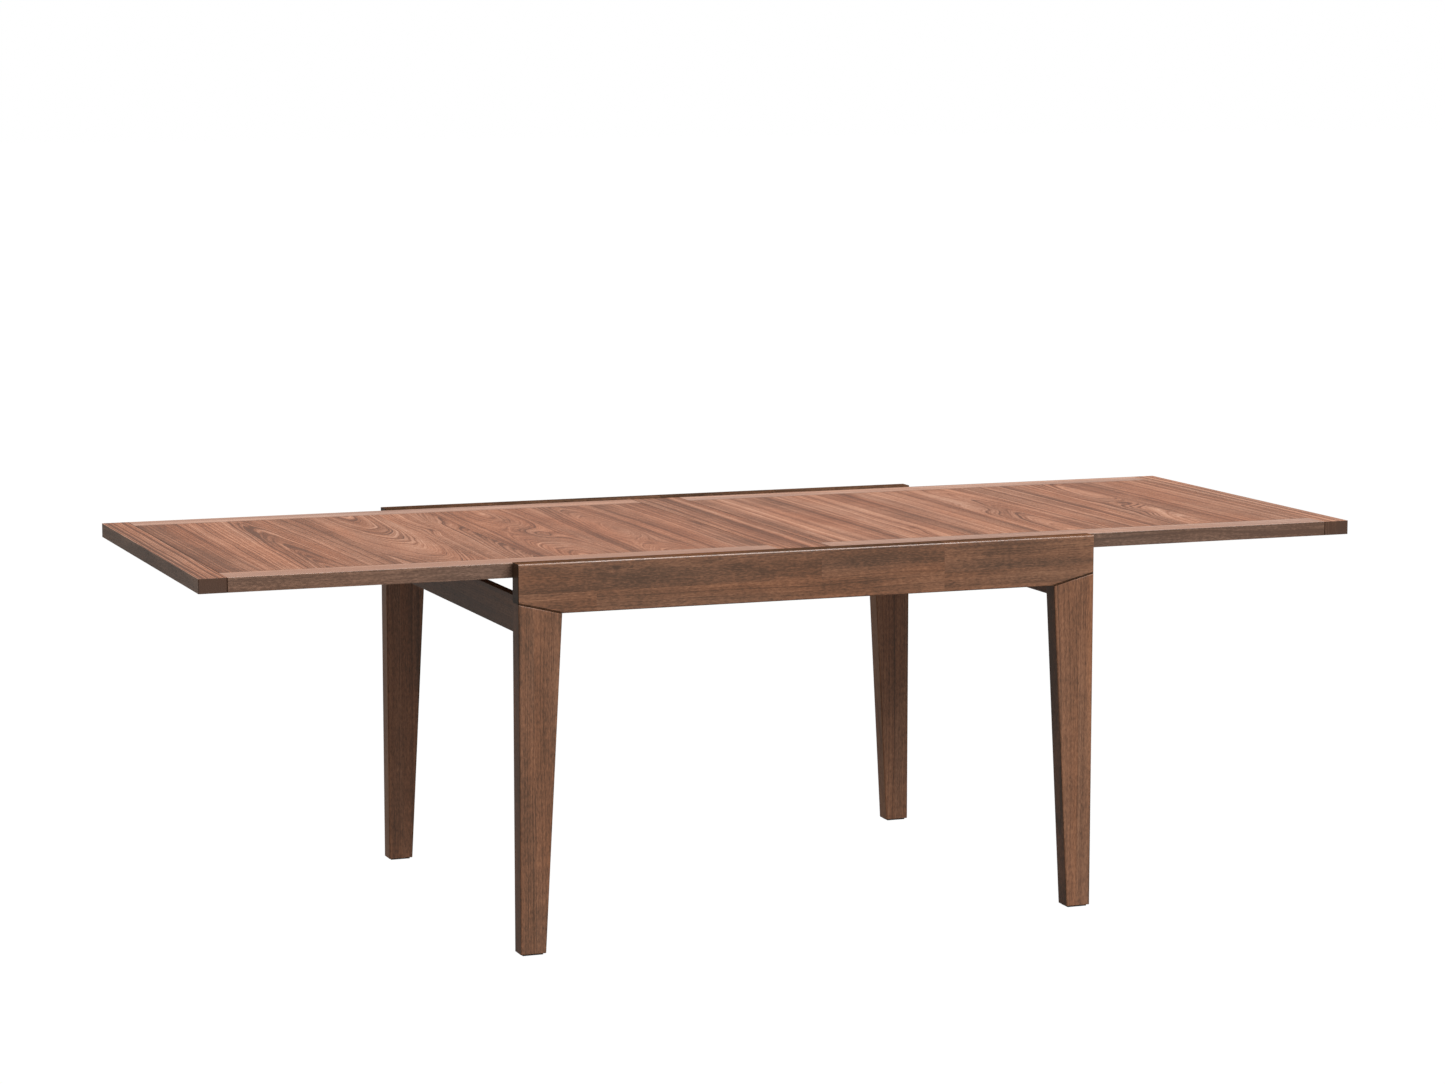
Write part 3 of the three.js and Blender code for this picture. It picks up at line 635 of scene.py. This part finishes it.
def top_board(node, along, across, staves, face_wood, open_sides, cuts=()):
    """One board of the top. Its edges on the open sides are rounded, and the others only eased."""
    low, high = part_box(node)
    bm = frame_copy(node)

    def is_open(m, d):
        """Whether an edge lies on one of the open sides."""
        for axis, way in open_sides:
            face_at = high[axis] if way > 0 else low[axis]
            if near(m[axis], face_at) and abs(d[axis]) < 0.5:
                return True
        return False

    def on_rim(m, d):
        """Whether a level edge lies round the upper or the lower face."""
        return (near(m.z, low.z) or near(m.z, high.z)) and abs(d.z) < 0.5

    def on_corner(m, d):
        return abs(d.z) > 0.9 and near(m.z, (low.z + high.z) / 2)

    # The open corners get painted shade.
    round_over(bm, BOARD_ARRIS, 3, lambda m, d: is_open(m, d) and on_corner(m, d), wear_and_painted_shade=SHADED)
    round_over(bm, BOARD_ARRIS, 3, lambda m, d: is_open(m, d) and on_rim(m, d))
    # The faces along joints with other boards get painted shade.
    round_over(bm, JOINT_ARRIS, 1, lambda m, d: not is_open(m, d) and on_rim(m, d), wear_and_painted_shade=PAINTED_JOINT_SHADE)
    saw(bm, across, cuts)
    lay_grain(bm, along, across, high.z, staves)
    paint_faces(bm)
    return finish_piece(bm, node, [face_wood, edge_walnut])


def leaves(edges, details):
    """Staves side by side across a panel: one for each stretch between two neighbouring edges."""
    rows = zip(edges, edges[1:], details)
    return [
        Stave((a, b), EVERYWHERE, (a + b) / 2 + shift, depth, lean, tone, seed)
        for a, b, (shift, depth, lean, tone, seed) in rows
    ]


LEFT_LEAVES = (-2.0, -1.060, -0.938, -0.790, -0.640, -0.528, -0.360, -0.190, 0.0)
LEFT_DETAILS = (
    (0.160, 0.030, 0.010, -0.35, 0.3),
    (0.075, 0.045, 0.045, -0.05, 1.1),
    (-0.070, 0.050, 0.040, -0.25, 2.7),
    (0.010, 0.058, -0.110, -0.10, 3.2),
    (0.060, 0.050, 0.050, -0.15, 4.9),
    (0.010, 0.055, 0.030, -0.20, 5.9),
    (0.020, 0.040, 0.055, -0.15, 6.3),
    (-0.150, 0.030, 0.010, -0.25, 7.8),
)
RIGHT_LEAVES = (0.0, 0.105, 0.258, 0.420, 0.530, 0.690, 0.830, 0.930, 2.0)
RIGHT_DETAILS = (
    (0.150, 0.030, 0.010, -0.05, 8.3),
    (-0.160, 0.030, 0.010, 0.05, 9.5),
    (0.120, 0.035, 0.010, 0.10, 10.2),
    (-0.120, 0.035, 0.010, 0.10, 11.9),
    (0.000, 0.045, 0.060, 0.05, 12.4),
    (0.140, 0.030, 0.010, -0.05, 13.1),
    (0.030, 0.050, 0.040, 0.10, 14.7),
    (-0.160, 0.030, 0.010, -0.05, 15.2),
)
BREADBOARD_TONES = {(-1, "outer"): -0.1, (-1, "inner"): -0.3, (1, "inner"): -0.4, (1, "outer"): 0.5}
BREADBOARD_SEEDS = {(-1, "outer"): 27.3, (-1, "inner"): 21.4, (1, "inner"): 23.1, (1, "outer"): 25.6}
BAND_TONES = {-1: -1.2, 1: -0.7}


def top_half(word, end, edges, details):
    field = f"{word}_field_panel"
    low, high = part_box(field)
    cuts = [x for x in edges if low.x < x < high.x]
    face_wood = left_veneer if end < 0 else right_veneer
    top_board(field, Y, X, leaves(edges, details), face_wood, [], cuts)
    for place, sides in (("inner", []), ("outer", [(X, end)])):
        node = f"{word}_{place}_breadboard"
        low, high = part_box(node)
        middle = (low.x + high.x) / 2
        tone = BREADBOARD_TONES[end, place]
        seed = BREADBOARD_SEEDS[end, place]
        stave = Stave(EVERYWHERE, EVERYWHERE, middle + BOARD_HEART, 0.02, 0.02, tone, seed)
        sides = sides + [(Y, -1), (Y, 1)]
        top_board(node, Y, X, [stave], breadboard_walnut, sides)
    for depth_word, side in SIDES:
        node = f"{word}_{depth_word}_edge_band"
        tone = BAND_TONES[side]
        seed = SEEDS["edge band"] + 2 * side + end
        stave = Stave(EVERYWHERE, EVERYWHERE, side * BAND_HEART, 0.03, 0.005, tone, seed)
        top_board(node, X, Y, [stave], pale_walnut, [(Y, side)])


# ---- Making the table --------------------------------------------------------------------------

for word, side in SIDES:
    long_rail(word, side)
    for end_word, end in ENDS:
        leg(word, side, end_word, end)
        for i, place in enumerate(("outer", "inner")):
            node = f"{word}_{end_word}_leg_dowel_{place}"
            seed = SEEDS["dowel"] + 4 * side + 2 * end + i
            plain_board(node, Z, X, beech, 0.0, seed, DOWEL_CHAMFER)
for word, end in ENDS:
    seed = SEEDS["end rail"] + end
    plain_board(f"{word}_end_rail", Y, Z, dark_walnut, -0.2, seed)
top_half("left", -1, LEFT_LEAVES, LEFT_DETAILS)
top_half("right", 1, RIGHT_LEAVES, RIGHT_DETAILS)

for i, word in enumerate(("left_crossbar", "middle_crossbar", "right_crossbar")):
    plain_board(word, Y, X, beech, 0.0, SEEDS["crossbar"] + i)
for i, word in enumerate(("open_stop", "closed_stop", "slide_stop_block")):
    plain_board(word, Y, X, beech, 0.1, SEEDS["stop"] + i)
for word, side in SIDES:
    plain_board(f"{word}_slide_guide", X, Z, beech, 0.0, SEEDS["guide"] + side, SLIDE_ARRIS)
    plain_board(f"{word}_slide_runner", X, Z, beech, -0.2, SEEDS["runner"] + side, SLIDE_ARRIS)


def hardware(node, material):
    """A metal or nylon part with its sharp edges broken."""
    bm = frame_copy(node)
    round_over(bm, METAL_ARRIS, 2, lambda m, d: True, sharper_than=0.6)
    return finish_piece(bm, node, [material], "part")


HARDWARE = (
    ("foot_glide", nylon, "glide_nylon"),
    ("corner_bracket", zinc, "zinc_steel"),
    ("bracket_bolt", zinc, "zinc_steel"),
    ("hinge", nickel, "nickel_hinge"),
    ("felt_strip", felt, "felt"),
)
for name in sorted(BODY_OF):
    for word, material, slot in HARDWARE:
        if word in name:
            hardware(name, material)

# ---- Floor, light and camera -------------------------------------------------------------------

FLOOR_REACH = 60.0


def floor():
    """A floor that is evenly white to the eye and shows no shadow."""
    bm = bmesh.new()
    bmesh.ops.create_grid(bm, x_segments=1, y_segments=1, size=FLOOR_REACH)
    mesh = bpy.data.meshes.new("floor")
    bm.to_mesh(mesh)
    bm.free()
    piece = bpy.data.objects.new("floor", mesh)
    scene.collection.objects.link(piece)
    piece.visible_diffuse = False
    piece.visible_glossy = False
    r = Recipe("studio_floor")
    r.set(Base_Color=(0.0, 0.0, 0.0, 1.0), Roughness=1.0)
    r.set(Emission_Color=(1.0, 1.0, 1.0, 1.0), Emission_Strength=1.02)
    r.set(Specular_IOR_Level=0.0)
    mesh.materials.append(r.material)


def soft_sun(name, bearing, height, strength, softness):
    """A broad even light. Its bearing is turned from the front towards the right; angles in degrees."""
    data = bpy.data.lights.new(name, "SUN")
    data.energy = strength
    data.angle = math.radians(softness)
    light = bpy.data.objects.new(name, data)
    light.rotation_euler = (math.radians(90 - height), 0.0, math.radians(bearing))
    scene.collection.objects.link(light)


def studio_lights():
    soft_sun("overhead_light", 0, 84, 1.45, 50)
    soft_sun("front_light", 28, 42, 2.9, 40)
    soft_sun("low_front_light", 8, 8, 0.40, 60)


def studio_surround():
    """Soft light from all round, weaker from the left and from below, and a white backdrop."""
    world = bpy.data.worlds.new("studio")
    scene.world = world
    world.use_nodes = True
    nodes, links = world.node_tree.nodes, world.node_tree.links

    def spread(value, *ends):
        """The value moved from its first two ends to its last two."""
        node = nodes.new("ShaderNodeMapRange")
        links.new(value, node.inputs[0])
        for i, end in enumerate(ends, start=1):
            node.inputs[i].default_value = end
        return node.outputs[0]

    direction = nodes.new("ShaderNodeSeparateXYZ")
    links.new(nodes.new("ShaderNodeTexCoord").outputs["Generated"], direction.inputs[0])
    strength = nodes.new("ShaderNodeMath")
    strength.operation = "MULTIPLY"
    links.new(spread(direction.outputs["X"], -1.0, 0.3, 0.34, 0.48), strength.inputs[0])
    links.new(spread(direction.outputs["Z"], -0.9, 0.1, 0.35, 1.0), strength.inputs[1])
    around = nodes["Background"]
    around.inputs["Color"].default_value = (1.0, 0.965, 0.92, 1.0)
    links.new(strength.outputs[0], around.inputs["Strength"])

    seen = nodes.new("ShaderNodeLightPath")
    backdrop = nodes.new("ShaderNodeBackground")
    backdrop.inputs["Color"].default_value = (1.0, 1.0, 1.0, 1.0)
    either = nodes.new("ShaderNodeMixShader")
    links.new(seen.outputs["Is Camera Ray"], either.inputs[0])
    links.new(around.outputs[0], either.inputs[1])
    links.new(backdrop.outputs[0], either.inputs[2])
    links.new(either.outputs[0], nodes["World Output"].inputs["Surface"])


def camera():
    data = bpy.data.cameras.new("camera")
    data.lens = 93.265
    data.sensor_width = 36.0
    data.clip_end = 200.0
    view = bpy.data.objects.new("camera", data)
    view.location = (-2.71841, -7.10142, 1.71378)
    view.rotation_euler = (math.radians(90 - 7.5317), 0.0, math.radians(-20.8813))
    scene.collection.objects.link(view)
    scene.camera = view


floor()
studio_lights()
studio_surround()
camera()
scene.view_settings.view_transform = "Standard"
